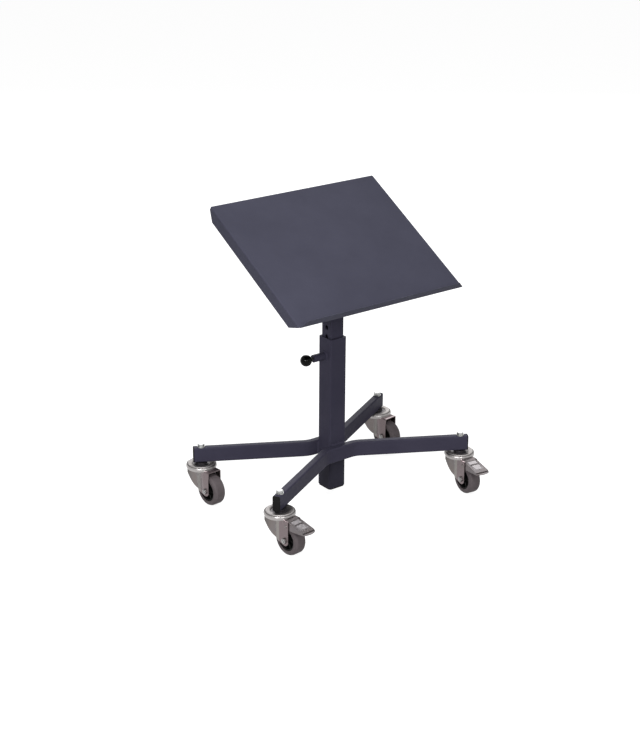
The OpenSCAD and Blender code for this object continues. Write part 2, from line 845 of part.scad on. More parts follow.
module mast_top_cap() {
  color("black")
    stand() {
      translate([0, 0, mast_top])
        linear_extrude(top_cap_t) rounded_rect(mast_w, mast_w, mast_corner);
      translate([0, 0, mast_top - top_plug])
        linear_extrude(top_plug)
          rounded_rect(mast_hollow - slide_gap, mast_hollow - slide_gap, mast_in_corner);
    }
}

// Plastic foot of the mast: a plug in the tube and a collar that slides in the post
module mast_foot_guide() {
  collar = post_hollow - 2 * slide_gap;
  color("black")
    stand() {
      translate([0, 0, mast_bottom - guide_t])
        linear_extrude(guide_t)
          tube_section(collar, collar, (collar - mast_hollow) / 2 + guide_wall, post_in_corner);
      translate([0, 0, mast_bottom])
        linear_extrude(guide_plug)
          tube_section(mast_hollow - slide_gap, mast_hollow - slide_gap, guide_wall, mast_in_corner);
    }
}

module pivot_sleeve() color("silver") on_pivot() sleeve(pivot_d, pivot_d / 2 + 3, mast_hollow);
module clamp_sleeve() color("silver") on_clamp() sleeve(clamp_d, clamp_d / 2 + 3, mast_hollow);

module pivot_bolt() {
  color("silver")
    on_pivot() {
      translate([0, 0, -clamp_x - head_height(pivot_d)]) hex_head(pivot_d, head_height(pivot_d));
      translate([0, 0, -clamp_x]) cylinder(d = pivot_d, h = 2 * clamp_x + nut_height(pivot_d) + 2);
    }
}

module pivot_nut() {
  color("silver")
    on_pivot()
      translate([0, 0, clamp_x])
        difference() {
          hex_head(pivot_d, nut_height(pivot_d));
          translate([0, 0, -cut]) cylinder(d = pivot_d, h = nut_height(pivot_d) + 2 * cut);
        }
}

module pivot_washers() {
  color("silver")
    on_pivot()
      for (x = [-clamp_x, stack_x]) translate([0, 0, x]) washer(pivot_d, washer_r(pivot_d));
}

module friction_washers() {
  color("ivory")
    on_pivot()
      for (x = [-1, 1])
        translate([0, 0, x * (mast_w + friction_t) / 2]) sleeve(pivot_d, friction_r, friction_t);
}

module clamp_bolt() {
  color("silver")
    on_clamp() {
      translate([0, 0, -clamp_x - head_height(clamp_d)]) hex_head(clamp_d, head_height(clamp_d));
      translate([0, 0, -clamp_x]) cylinder(d = clamp_d, h = 2 * clamp_x + 14);
    }
}

module clamp_washers() {
  color("silver")
    on_clamp()
      for (x = [-clamp_x, stack_x]) translate([0, 0, x]) washer(clamp_d, washer_r(clamp_d) + 1);
}

// Threaded steel insert of the lever, which turns on the clamp bolt
module clamp_lever_hub() {
  color("silver")
    on_clamp()
      translate([0, 0, clamp_x + slide_gap / 2])
        difference() {
          union() {
            cylinder(r = clamp_d / 2 + 4, h = 7);
            cylinder(r = clamp_d / 2 + 3, h = 16);
          }
          translate([0, 0, -cut]) cylinder(r = clamp_d / 2 + run_gap, h = 16 + 2 * cut);
        }
}

// Moulded lever: a barrel over the insert and a thickening round arm that leans outwards
module clamp_lever_grip() {
  barrel_r = clamp_d / 2 + 6.5;
  barrel_len = 17;
  color("black")
    on_clamp()
      translate([0, 0, clamp_x + slide_gap / 2 + 7])
        difference() {
          union() {
            cylinder(r = barrel_r, h = barrel_len);
            translate([0, 0, barrel_len]) cylinder(r1 = barrel_r, r2 = barrel_r - 2, h = 2);
            translate([0, 0, barrel_len / 2])
              rotate([0, 75, 0]) {
                cylinder(r1 = 5.5, r2 = 7, h = lever_len);
                translate([0, 0, lever_len]) sphere(r = 7);
              }
          }
          translate([0, 0, -cut]) cylinder(r = clamp_d / 2 + 3, h = 9 + cut);
          translate([0, 0, -cut]) cylinder(d = clamp_d + 1, h = 12 + cut);
        }
}

// Corner cut under a square end, for an outline whose edge ends at +X
module corner_cut(edge_x, end_h, deep) {
  polygon([
    [edge_x - (deep - end_h) - cut, -deep - cut], [edge_x + cut, -deep - cut],
    [edge_x + cut, -end_h + cut]
  ]);
}

// Section of the table from left to right: both side edges folded down
module table_cross() {
  flat = table_w / 2 - fold_r;
  translate([-flat, -table_sheet]) square([2 * flat, table_sheet]);
  for (x = [0, 1])
    mirror([x, 0, 0]) {
      translate([flat, -fold_r]) fold_section(fold_r, table_sheet);
      translate([table_w / 2 - table_sheet, -edge_h]) square([table_sheet, edge_h - fold_r]);
    }
}

// Section of the table along its slope: back edge folded down, front lip folded up
module table_slope() {
  flat = table_d / 2 - fold_r;
  translate([-flat, -table_sheet]) square([2 * flat, table_sheet]);
  translate([flat, -fold_r]) fold_section(fold_r, table_sheet);
  translate([table_d / 2 - table_sheet, -edge_h]) square([table_sheet, edge_h - fold_r]);
  translate([-flat, fold_r - table_sheet]) rotate(180) fold_section(fold_r, table_sheet);
  translate([-table_d / 2, fold_r - table_sheet]) square([table_sheet, lip_h + table_sheet - fold_r]);
}

// The sheet is two crossing folded strips, which leaves the small notches of the corner folds
module table_top() {
  side_end = table_d / 2 - fold_r;
  back_wide = table_w / 2 - fold_r;
  color("dimgray")
    on_table()
      translate([0, 0, top_h]) {
        difference() {
          along_y(2 * side_end) table_cross();
          along_x(table_w + 2 * cut) {
            corner_cut(side_end, back_end, edge_h);
            mirror([1, 0, 0]) corner_cut(side_end, front_end, edge_h);
          }
        }
        difference() {
          along_x(2 * back_wide) table_slope();
          translate([0, table_d / 2, 0])
            along_y(2 * (fold_r + cut))
              for (x = [0, 1]) mirror([x, 0, 0]) corner_cut(back_wide, back_end, edge_h);
          translate([0, -table_d / 2, 0])
            along_y(2 * (fold_r + cut))
              for (x = [0, 1])
                mirror([x, 0, 0]) mirror([0, 1, 0]) corner_cut(back_wide, table_sheet, lip_h);
        }
      }
}

// Plate welded under the table, with clipped corners
module table_stiffener() {
  clip = 20;
  color("dimgray")
    on_table()
      translate([0, (bracket_rear - bracket_front) / 2, head_room + bracket_t])
        linear_extrude(plate_t)
          polygon([
            [-plate_w / 2 + clip, -plate_d / 2], [plate_w / 2 - clip, -plate_d / 2],
            [plate_w / 2, -plate_d / 2 + clip], [plate_w / 2, plate_d / 2 - clip],
            [plate_w / 2 - clip, plate_d / 2], [-plate_w / 2 + clip, plate_d / 2],
            [-plate_w / 2, plate_d / 2 - clip], [-plate_w / 2, -plate_d / 2 + clip]
          ]);
}

// Side view of a bracket cheek: a web that runs out into a fan round the clamp slot.
// Round ends are drawn a hair small, so that they cut the fan cleanly.
module cheek_outline() {
  hair = 0.05;
  end_r = cheek_r - clamp_reach;
  steep = 270 - tilt_max;
  low = [0, -clamp_reach];
  front = clamp_reach * [cos(steep), sin(steep)];
  shoulder = head_room - 8;
  to_front = [-bracket_front, shoulder] - front;
  to_rear = [bracket_rear, shoulder] - low;
  front_side = atan2(to_front.y, to_front.x) + acos(end_r / norm(to_front));
  rear_side = atan2(to_rear.y, to_rear.x) - acos(end_r / norm(to_rear));
  difference() {
    union() {
      polygon([
        [-bracket_front, head_room + bracket_t], [-bracket_front, shoulder],
        front + 0.97 * end_r * [cos(front_side), sin(front_side)],
        low + 0.97 * end_r * [cos(rear_side), sin(rear_side)],
        [bracket_rear, shoulder], [bracket_rear, head_room + bracket_t]
      ]);
      intersection() {
        circle(r = cheek_r);
        polygon([[0, 0], 2 * front, 2 * low]);
      }
      translate(front) circle(r = end_r - hair);
      translate(low) circle(r = end_r - hair);
    }
    circle(r = pivot_d / 2 + run_gap);
    intersection() {
      difference() {
        circle(r = clamp_reach + slot_r);
        circle(r = clamp_reach - slot_r);
      }
      polygon([[0, 0], 2 * front, 2 * low]);
    }
    translate(front) circle(r = slot_r - hair);
    translate(low) circle(r = slot_r - hair);
  }
}

// Bracket that carries the table: one plate folded into two cheeks and a back
module tilt_bracket() {
  reach = bracket_front + bracket_rear;
  color("dimgray")
    on_table()
      intersection() {
        translate([0, bracket_rear - reach / 2, 0])
          along_y(reach)
            folded_u(bracket_out, bracket_t, head_room + bracket_t, -cheek_r - cut, bracket_fold);
        along_x(2 * bracket_out + 2 * cut) cheek_outline();
      }
}

// Locking pin with its pull rod, drawn back clear of the mast
module plunger_pin() {
  lead = 1.5;
  color("silver")
    on_plunger() {
      translate([0, 0, pin_tip]) cylinder(d1 = pin_d - 2 * lead, d2 = pin_d, h = lead);
      translate([0, 0, pin_tip + lead]) cylinder(d = pin_d, h = pin_shoulder - pin_tip - lead);
      translate([0, 0, pin_shoulder])
        cylinder(d = rod_d, h = knob_base + knob_bore - pin_shoulder - cut);
    }
}

module plunger_knob() {
  color("black")
    on_plunger()
      difference() {
        intersection() {
          translate([0, 0, knob_x]) sphere(d = knob_d);
          translate([0, 0, knob_base]) cylinder(d = knob_d, h = 2 * knob_d);
        }
        translate([0, 0, knob_base - cut]) cylinder(d = rod_d, h = knob_bore + cut);
      }
}

front_leg_tube();
rear_leg_tube();
leg_end_caps();
leg_spacers();
outer_post();
guide_bush();
post_foot_cap();
plunger_boss();
plunger_spring();
leg_bolts();
leg_washers();
caster_nuts();
front_left() caster_head();  // front_left_head
front_right() caster_head();  // front_right_head
rear_left() caster_head();  // rear_left_head
rear_right() caster_head();  // rear_right_head
inner_post();
mast_top_cap();
mast_foot_guide();
pivot_sleeve();
pivot_bolt();
pivot_nut();
pivot_washers();
friction_washers();
clamp_sleeve();
clamp_bolt();
clamp_washers();
clamp_lever_hub();
clamp_lever_grip();
table_top();
table_stiffener();
tilt_bracket();
plunger_pin();
plunger_knob();
front_left() fork(true);  // front_left_fork
front_left() swivel_balls();  // front_left_balls
front_left() axle();  // front_left_axle
front_left() wheel_core();  // front_left_core
front_left() tyre();  // front_left_tyre
front_left() pedal();  // front_left_pedal
front_left() pedal_rivets();  // front_left_rivets
front_right() fork(true);  // front_right_fork
front_right() swivel_balls();  // front_right_balls
front_right() axle();  // front_right_axle
front_right() wheel_core();  // front_right_core
front_right() tyre();  // front_right_tyre
front_right() pedal();  // front_right_pedal
front_right() pedal_rivets();  // front_right_rivets
rear_left() fork(false);  // rear_left_fork
rear_left() swivel_balls();  // rear_left_balls
rear_left() axle();  // rear_left_axle
rear_left() wheel_core();  // rear_left_core
rear_left() tyre();  // rear_left_tyre
rear_right() fork(false);  // rear_right_fork
rear_right() swivel_balls();  // rear_right_balls
rear_right() axle();  // rear_right_axle
rear_right() wheel_core();  // rear_right_core
rear_right() tyre();  // rear_right_tyre
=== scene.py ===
import json
import math

import bmesh
import bpy
from mathutils import Matrix, Vector


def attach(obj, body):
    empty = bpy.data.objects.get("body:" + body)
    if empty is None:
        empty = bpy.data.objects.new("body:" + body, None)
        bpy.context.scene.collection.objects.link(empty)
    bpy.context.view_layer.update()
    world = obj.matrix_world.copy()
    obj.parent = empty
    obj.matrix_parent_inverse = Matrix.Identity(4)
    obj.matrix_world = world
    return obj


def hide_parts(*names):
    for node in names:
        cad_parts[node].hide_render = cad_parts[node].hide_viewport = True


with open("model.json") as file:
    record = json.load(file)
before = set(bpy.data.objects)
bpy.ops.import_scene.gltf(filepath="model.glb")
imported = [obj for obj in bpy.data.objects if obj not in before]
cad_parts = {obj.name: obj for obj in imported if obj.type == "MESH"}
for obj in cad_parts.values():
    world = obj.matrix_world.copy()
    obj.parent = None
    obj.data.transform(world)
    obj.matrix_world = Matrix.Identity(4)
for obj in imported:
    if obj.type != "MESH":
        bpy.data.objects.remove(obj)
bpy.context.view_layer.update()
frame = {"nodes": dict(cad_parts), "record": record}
nodes = frame["nodes"]
joints = {joint["name"]: joint for joint in frame["record"]["behaviour"]["joints"]}
scene = bpy.context.scene
scene.view_settings.view_transform = "Standard"
print("frame loaded:", len(nodes), "nodes")


# Places of the object's axes, in metres

postY, pivotHeight = joints["table_tilt"]["pos_m"][1:]
postHalf = 0.025
legTop = 0.146
legBottom = 0.106
plungerHeight = 0.388
tableTilt = math.radians(30)
hair = 0.00002  # what counts as lying on a line


# Camera, at the photograph's viewing angle

cameraSetup = {
    "place": (-2.4034, -3.0333, 1.8771),
    "target": (-0.0398, 0.0368, 0.3633),
    "lens": 80.88,
    "sensor": 36,
    "roll": 0.358,
    "farEnd": 60,
}


def makeCamera(setup):
    data = bpy.data.cameras.new("camera")
    data.lens = setup["lens"]
    data.sensor_width = setup["sensor"]
    data.clip_end = setup["farEnd"]
    camera = bpy.data.objects.new("camera", data)
    scene.collection.objects.link(camera)
    place = Vector(setup["place"])
    aim = (Vector(setup["target"]) - place).to_track_quat("-Z", "Y").to_matrix().to_4x4()
    roll = Matrix.Rotation(math.radians(setup["roll"]), 4, "Z")
    camera.matrix_world = Matrix.Translation(place) @ aim @ roll
    scene.camera = camera


makeCamera(cameraSetup)


# Node helpers for the materials

middleBand = (0.35, 0.65)  # where most values of a noise lie
wideBand = (0.3, 0.7)


def startMaterial(name):
    material = bpy.data.materials.new(name)
    material.use_nodes = True
    tree = material.node_tree
    tree.nodes.clear()
    output = tree.nodes.new("ShaderNodeOutputMaterial")
    shader = tree.nodes.new("ShaderNodeBsdfPrincipled")
    tree.links.new(shader.outputs["BSDF"], output.inputs["Surface"])
    return material, tree, shader


def objectPlace(tree):
    return tree.nodes.new("ShaderNodeTexCoord").outputs["Object"]


def addNoise(tree, place, scale, detail=4, rough=0.5, stretch=None):
    noise = tree.nodes.new("ShaderNodeTexNoise")
    noise.inputs["Scale"].default_value = scale
    noise.inputs["Detail"].default_value = detail
    noise.inputs["Roughness"].default_value = rough
    if stretch:  # drawn out along one axis, for grinding marks
        mapping = tree.nodes.new("ShaderNodeMapping")
        mapping.inputs["Scale"].default_value = stretch
        tree.links.new(place, mapping.inputs["Vector"])
        place = mapping.outputs["Vector"]
    tree.links.new(place, noise.inputs["Vector"])
    return noise.outputs["Fac"]


def addRange(tree, value, low, high, toLow, toHigh):
    node = tree.nodes.new("ShaderNodeMapRange")
    for key, number in (("From Min", low), ("From Max", high), ("To Min", toLow), ("To Max", toHigh)):
        node.inputs[key].default_value = number
    tree.links.new(value, node.inputs["Value"])
    return node.outputs["Result"]


def addRise(tree, value, start, end):  # 0 before the start, 1 past the end
    return addRange(tree, value, start, end, 0, 1)


def addFall(tree, value, start, end):  # 1 before the start, 0 past the end
    return addRange(tree, value, start, end, 1, 0)


def addMix(tree, factor, first, second):
    node = tree.nodes.new("ShaderNodeMix")
    node.data_type = "RGBA"
    for key, colour in (("A", first), ("B", second)):
        socket = [s for s in node.inputs if s.name == key and s.type == "RGBA"][0]
        if isinstance(colour, bpy.types.NodeSocket):
            tree.links.new(colour, socket)
        else:
            socket.default_value = (*colour, 1)
    tree.links.new(factor, node.inputs["Factor"])
    return [s for s in node.outputs if s.type == "RGBA"][0]


def addMath(tree, kind, first, second):
    node = tree.nodes.new("ShaderNodeMath")
    node.operation = kind
    node.use_clamp = kind in ("ADD", "MULTIPLY")
    for i, value in enumerate((first, second)):
        if isinstance(value, bpy.types.NodeSocket):
            tree.links.new(value, node.inputs[i])
        else:
            node.inputs[i].default_value = value
    return node.outputs["Value"]


def addProduct(tree, first, second):
    return addMath(tree, "MULTIPLY", first, second)


def addDistance(tree, value, middle):  # how far a value lies from a middle, on either side
    return addMath(tree, "ABSOLUTE", addMath(tree, "SUBTRACT", value, middle), 0)


def addReach(tree, place, axis):  # distance from an upright axis
    split = tree.nodes.new("ShaderNodeSeparateXYZ")
    tree.links.new(place, split.inputs["Vector"])
    squares = []
    for key, middle in zip("XY", axis):
        squares.append(addMath(tree, "POWER", addDistance(tree, split.outputs[key], middle), 2))
    return addMath(tree, "SQRT", addMath(tree, "ADD", *squares), 0)


def addAlong(tree, place, direction):  # distance along a direction
    dot = tree.nodes.new("ShaderNodeVectorMath")
    dot.operation = "DOT_PRODUCT"
    tree.links.new(place, dot.inputs[0])
    dot.inputs[1].default_value = direction
    return dot.outputs["Value"]


def addHeight(tree, place):
    return addAlong(tree, place, (0, 0, 1))


def addBump(tree, height, strength, distance, normal):
    node = tree.nodes.new("ShaderNodeBump")
    node.inputs["Strength"].default_value = strength
    node.inputs["Distance"].default_value = distance
    tree.links.new(height, node.inputs["Height"])
    tree.links.new(normal, node.inputs["Normal"])
    return node.outputs["Normal"]


def softEdge(tree, radius):  # normal that rounds the sharp edges of folded and cut metal
    node = tree.nodes.new("ShaderNodeBevel")
    node.samples = 6
    node.inputs["Radius"].default_value = radius
    return node.outputs["Normal"]


def edgeMask(tree, rounded, low, high):  # 1 on sharp edges, where paint wears through first
    geometry = tree.nodes.new("ShaderNodeNewGeometry")
    dot = tree.nodes.new("ShaderNodeVectorMath")
    dot.operation = "DOT_PRODUCT"
    tree.links.new(rounded, dot.inputs[0])
    tree.links.new(geometry.outputs["Normal"], dot.inputs[1])
    return addRise(tree, dot.outputs["Value"], high, low)


# Marks that use leaves in one place of a finish: each mixes a colour into what is shown

# Painted shade in a swivel's recess, darker round its axis, with grease
hubShadeAndGrease = {
    "inner": 0.0185,
    "outer": 0.0230,
    "patchScale": 45,
    "waver": 0.0012,
    "colour": (0.060, 0.056, 0.062),
}

# Painted highlight on a race's rim, lighter than the zinc round it
raceRimHighlight = {
    "inner": 0.0325,
    "outer": 0.0356,
    "innerBlur": 0.0008,
    "outerBlur": 0.0004,
    "height": (0.0899, 0.0903),
    "colour": (0.32, 0.305, 0.30),
}

forkRimHighlight = dict(raceRimHighlight, inner=0.0372, outer=0.0400)

# Painted light and shade on a fork's cheeks, where the crease and the curve turn the sheet to and from
# the light
forkCheekShading = {
    "band": {"colour": (0.215, 0.200, 0.190), "span": (0.0085, 0.0120)},
    "front": {"colour": (0.160, 0.129, 0.133), "span": (0.0200, 0.0212)},
    "heel": {"colour": (0.098, 0.091, 0.087), "span": (-0.010, -0.033)},
}

treadPanels = {
    "spans": ((0.054, 0.067), (0.072, 0.092)),
    "halfWidth": (0.0128, 0.0134),
    "outBlur": 0.0002,
    "inBlur": 0.0004,
    "colour": (0.300, 0.282, 0.290),
}

# Painted shade at the post's foot, under the legs
footShade = {
    "height": (0.112, 0.098),
    "colour": (0.026, 0.025, 0.037),
}


def markHubShade(tree, place, shown, setup):  # painted shade, with grease: darker near a swivel's axis, in the recess under the leg
    patches = addNoise(tree, place, setup["patchScale"], detail=4, rough=0.55)
    waver = addRange(tree, patches, *wideBand, -setup["waver"], setup["waver"])
    edge = addMath(tree, "ADD", addReach(tree, place, setup["axis"]), waver)
    inside = addFall(tree, edge, setup["inner"], setup["outer"])
    return addMix(tree, inside, shown, setup["colour"])


def markRimHighlight(tree, place, shown, setup):  # painted highlight: a lighter ring on the top of a pressed rim, standing in for its reflection
    reach = addReach(tree, place, setup["axis"])
    ring = addRise(tree, reach, setup["inner"], setup["inner"] + setup["innerBlur"])
    outside = addFall(tree, reach, setup["outer"] - setup["outerBlur"], setup["outer"])
    above = addRise(tree, addHeight(tree, place), *setup["height"])
    rim = addProduct(tree, addProduct(tree, ring, outside), above)
    return addMix(tree, rim, shown, setup["colour"])


def markCheekShading(tree, place, shown, setup):  # painted light and shade across a fork's cheek: a lighter band by the crease, a pinker front, and a darker heel where the cheek turns away from the light
    back = addAlong(tree, place, setup["trail"])
    for name in ("band", "front", "heel"):
        start, end = setup[name]["span"]
        part = addRise(tree, back, setup["at"] + start, setup["at"] + end)
        shown = addMix(tree, part, shown, setup[name]["colour"])
    return shown


def markPanels(tree, place, shown, setup):  # the raised panels of a tread, coloured lighter than the tread round them
    far = addAlong(tree, place, setup["trail"])
    aside = addDistance(tree, addAlong(tree, place, setup["across"]), setup["middle"])
    inside = addFall(tree, aside, *setup["halfWidth"])
    for start, end in setup["spans"]:
        near = setup["at"] + start
        away = setup["at"] + end
        rise = addRise(tree, far, near - setup["outBlur"], near + setup["inBlur"])
        fall = addFall(tree, far, away - setup["inBlur"], away + setup["outBlur"])
        span = addProduct(tree, addProduct(tree, rise, fall), inside)
        shown = addMix(tree, span, shown, setup["colour"])
    return shown


def markFootShade(tree, place, shown, setup):  # painted shade: darker towards the floor, below the legs, where their shadow falls
    low = addRise(tree, addHeight(tree, place), *setup["height"])
    return addMix(tree, low, shown, setup["colour"])


# Powder coat

powderCoat = {
    "colour": (0.036, 0.034, 0.054),
    "pale": (0.044, 0.041, 0.063),
    "rough": (0.42, 0.56),
    "sheen": 0.035,
    "cloudScale": 5,
    "scuffScale": 60,
    "grainScale": 900,
    "grainDepth": 0.00012,
    "edge": 0.0008,
    "wornEdge": (0.80, 0.985),
    "wornScuffs": (0.45, 0.75),
    "wornShare": 0.5,
    "wornGain": 3,
}

tableCoat = dict(
    powderCoat,
    colour=(0.044, 0.044, 0.065),
    pale=(0.052, 0.052, 0.076),
    rough=(0.40, 0.52),
    sheen=0.05,
    grainDepth=0.00010,
)


def makePowderCoat(name, setup, marks=()):
    material, tree, shader = startMaterial(name)
    place = objectPlace(tree)
    clouds = addNoise(tree, place, setup["cloudScale"], detail=5, rough=0.6)
    scuffs = addNoise(tree, place, setup["scuffScale"], detail=6, rough=0.7, stretch=(1, 4, 1))
    grain = addNoise(tree, place, setup["grainScale"], detail=2, rough=0.5)
    rounded = softEdge(tree, setup["edge"])
    edges = edgeMask(tree, rounded, *setup["wornEdge"])
    worn = addProduct(tree, edges, addRange(tree, scuffs, *setup["wornScuffs"], 0, setup["wornShare"]))
    coat = addMix(tree, addRise(tree, clouds, *middleBand), setup["colour"], setup["pale"])
    shown = addMix(tree, worn, coat, tuple(setup["wornGain"] * c for c in setup["pale"]))
    for addMark, values in marks:
        shown = addMark(tree, place, shown, values)
    tree.links.new(shown, shader.inputs["Base Color"])
    shader.inputs["Specular IOR Level"].default_value = setup["sheen"]
    tree.links.new(addRange(tree, scuffs, *wideBand, *setup["rough"]), shader.inputs["Roughness"])
    tree.links.new(addBump(tree, grain, 0.5, setup["grainDepth"], rounded), shader.inputs["Normal"])
    return material


# Zinc plating and bare steel

zincPlate = {
    "colour": (0.155, 0.136, 0.132),
    "warm": (0.150, 0.128, 0.118),
    "cool": (0.155, 0.145, 0.152),
    "rough": (0.24, 0.40),
    "edge": 0.0006,
    "patchScale": 45,
    "spangleScale": 420,
    "spangleShare": (0.2, 0.9),
    "rollScale": 260,
    "rollStretch": (0.15, 1, 1),
    "depth": 0.00008,
}

raceZinc = dict(
    zincPlate,
    colour=(0.190, 0.178, 0.174),
    warm=(0.180, 0.164, 0.154),
    cool=(0.190, 0.184, 0.188),
    rough=(0.42, 0.56),
)

boltZinc = dict(
    zincPlate,
    colour=(0.36, 0.365, 0.355),
    warm=(0.35, 0.34, 0.32),
    cool=(0.35, 0.36, 0.37),
    rough=(0.34, 0.48),
)

axleZinc = dict(boltZinc, colour=(0.23, 0.22, 0.215))

pedalZinc = dict(
    zincPlate,
    colour=(0.145, 0.128, 0.131),
    warm=(0.140, 0.120, 0.118),
    cool=(0.145, 0.136, 0.144),
    rough=(0.34, 0.48),
    edge=0.0007,
)

brightSteel = dict(
    zincPlate,
    colour=(0.62, 0.61, 0.60),
    warm=(0.60, 0.57, 0.53),
    cool=(0.60, 0.62, 0.66),
    rough=(0.14, 0.28),
    edge=0.0004,
)


def makePlatedMetal(name, setup, marks=()):
    material, tree, shader = startMaterial(name)
    place = objectPlace(tree)
    patches = addNoise(tree, place, setup["patchScale"], detail=4, rough=0.55)
    spangle = addNoise(tree, place, setup["spangleScale"], detail=5, rough=0.65)
    rolled = addNoise(tree, place, setup["rollScale"], detail=3, rough=0.6, stretch=setup["rollStretch"])
    tint = addMix(tree, addRise(tree, patches, *middleBand), setup["warm"], setup["cool"])
    share = addRange(tree, spangle, *wideBand, *setup["spangleShare"])
    shown = addMix(tree, share, tint, setup["colour"])
    for addMark, values in marks:
        shown = addMark(tree, place, shown, values)
    tree.links.new(shown, shader.inputs["Base Color"])
    shader.inputs["Metallic"].default_value = 1
    tree.links.new(addRange(tree, spangle, *wideBand, *setup["rough"]), shader.inputs["Roughness"])
    height = addMath(tree, "ADD", addProduct(tree, rolled, 0.5), addProduct(tree, spangle, 0.4))
    normal = addBump(tree, height, 0.35, setup["depth"], softEdge(tree, setup["edge"]))
    tree.links.new(normal, shader.inputs["Normal"])
    return material


# Plastics and rubber

blackPlastic = {
    "colour": (0.003, 0.003, 0.003),
    "pale": (0.006, 0.006, 0.006),
    "rough": (0.42, 0.58),
    "sheen": 0.1,
    "cloudScale": 40,
    "markScale": 150,
    "grainScale": 1400,
    "grainDepth": 0.00006,
    "edge": 0.0006,
}

blackenedRod = dict(blackPlastic, sheen=0.5)

knobPlastic = dict(
    blackPlastic,
    colour=(0.001, 0.001, 0.001),
    pale=(0.002, 0.002, 0.002),
    rough=(0.04, 0.07),
    sheen=0.08,
    grainScale=300,
    grainDepth=0.00001,
)

naturalNylon = dict(
    blackPlastic,
    colour=(0.62, 0.58, 0.47),
    pale=(0.68, 0.65, 0.56),
    rough=(0.38, 0.50),
    sheen=0.5,
    grainScale=900,
    grainDepth=0.00004,
)

greyRubber = dict(
    blackPlastic,
    colour=(0.079, 0.065, 0.069),
    pale=(0.101, 0.085, 0.090),
    rough=(0.55, 0.78),
    sheen=0.2,
    grainScale=700,
    grainDepth=0.00008,
)


def makeMoulded(name, setup):
    material, tree, shader = startMaterial(name)
    place = objectPlace(tree)
    clouds = addNoise(tree, place, setup["cloudScale"], detail=4, rough=0.6)
    grain = addNoise(tree, place, setup["grainScale"], detail=3, rough=0.6)
    scuffs = addNoise(tree, place, setup["markScale"], detail=5, rough=0.7)
    colour = addMix(tree, addRise(tree, clouds, *middleBand), setup["colour"], setup["pale"])
    tree.links.new(colour, shader.inputs["Base Color"])
    shader.inputs["Specular IOR Level"].default_value = setup["sheen"]
    tree.links.new(addRange(tree, scuffs, *wideBand, *setup["rough"]), shader.inputs["Roughness"])
    normal = addBump(tree, grain, 0.4, setup["grainDepth"], softEdge(tree, setup["edge"]))
    tree.links.new(normal, shader.inputs["Normal"])
    return material


# Finishes, first by the record's slots and then where a sub-part has one of its own

finishes = {
    "painted_steel": makePowderCoat("powderCoat", powderCoat),
    "painted_table": makePowderCoat("tableCoat", tableCoat),
    "zinc_plate": makePlatedMetal("zincPlate", zincPlate),
    "bright_steel": makePlatedMetal("brightSteel", brightSteel),
    "black_plastic": makeMoulded("blackPlastic", blackPlastic),
    "black_knob": makeMoulded("knobPlastic", knobPlastic),
    "nylon": makeMoulded("naturalNylon", naturalNylon),
    "grey_rubber": makeMoulded("greyRubber", greyRubber),
}


def dress(name, material):
    mesh = nodes[name].data
    mesh.materials.clear()
    mesh.materials.append(material)


for part in frame["record"]["subparts"]:
    dress(part["node"], finishes[part["material_slot"]])

# the post's coat carries painted shade at its foot, under the legs
dress("outer_post", makePowderCoat("postCoat", powderCoat, [(markFootShade, footShade)]))
dress("plunger_pin", makeMoulded("blackenedRod", blackenedRod))
boltFinish = makePlatedMetal("boltZinc", boltZinc)
for name in ("leg_bolts", "leg_washers"):
    dress(name, boltFinish)


# Casters: each has its own axis, and trails its own way

corners = ("front_left", "front_right", "rear_left", "rear_right")


def placeCaster(corner):
    axis = Vector(joints[corner + "_swivel_turn"]["pos_m"][:2])
    wheel = Vector(joints[corner + "_wheel_spin"]["pos_m"][:2])
    trail = (wheel - axis).normalized()
    return {"axis": axis, "trail": trail, "across": Vector((-trail.y, trail.x))}


def finishCaster(corner):
    caster = casters[corner]
    hub = {"axis": tuple(caster["axis"])}
    line = {"trail": (*caster["trail"], 0), "at": caster["axis"].dot(caster["trail"])}
    # painted shade round the hub, with grease
    hubShaded = (markHubShade, dict(hubShadeAndGrease, **hub))
    # painted highlight on the race's rim
    rimHighlight = (markRimHighlight, dict(raceRimHighlight, **hub))
    dress(corner + "_head", makePlatedMetal(corner + "Race", raceZinc, [hubShaded, rimHighlight]))
    # painted light and shade on the fork's cheeks
    cheekShading = (markCheekShading, dict(forkCheekShading, **line))
    # painted highlight on the fork's rim
    rimHighlight = (markRimHighlight, dict(forkRimHighlight, **hub))
    dress(corner + "_fork", makePlatedMetal(corner + "Fork", zincPlate, [cheekShading, rimHighlight]))
    if corner + "_pedal" in nodes:
        line["across"] = (*caster["across"], 0)
        line["middle"] = caster["axis"].dot(caster["across"])
        lighterPanels = (markPanels, dict(treadPanels, **line))
        dress(corner + "_pedal", makePlatedMetal(corner + "Tread", pedalZinc, [lighterPanels]))


casters = {corner: placeCaster(corner) for corner in corners}
axleFinish = makePlatedMetal("axleZinc", axleZinc)
for corner in corners:
    finishCaster(corner)
    dress(corner + "_axle", axleFinish)
print("finishes on", len(nodes), "nodes")


# Helpers for the pieces

def nodeShape(name):  # a node's mesh, joined along its seams
    shape = bmesh.new()
    shape.from_mesh(nodes[name].data)
    bmesh.ops.remove_doubles(shape, verts=shape.verts, dist=0.000001)
    return shape


def addPiece(name, shape, slot, body, finish=None, smooth=None):
    bmesh.ops.recalc_face_normals(shape, faces=shape.faces)
    mesh = bpy.data.meshes.new(name)
    shape.to_mesh(mesh)
    shape.free()
    mesh.materials.append(finish or finishes[slot])
    mesh.shade_smooth()
    if smooth:
        mesh.set_sharp_from_angle(angle=math.radians(smooth))
    piece = bpy.data.objects.new(name, mesh)
    scene.collection.objects.link(piece)
    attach(piece, body)
    return piece


def replaceNode(node, name, shape, slot, body, smooth):
    piece = addPiece(name, shape, slot, body, nodes[node].data.materials[0], smooth)
    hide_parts(node)


# Forks: behind their crease the pressed cheeks run back nearly flat, with a fuller lower edge

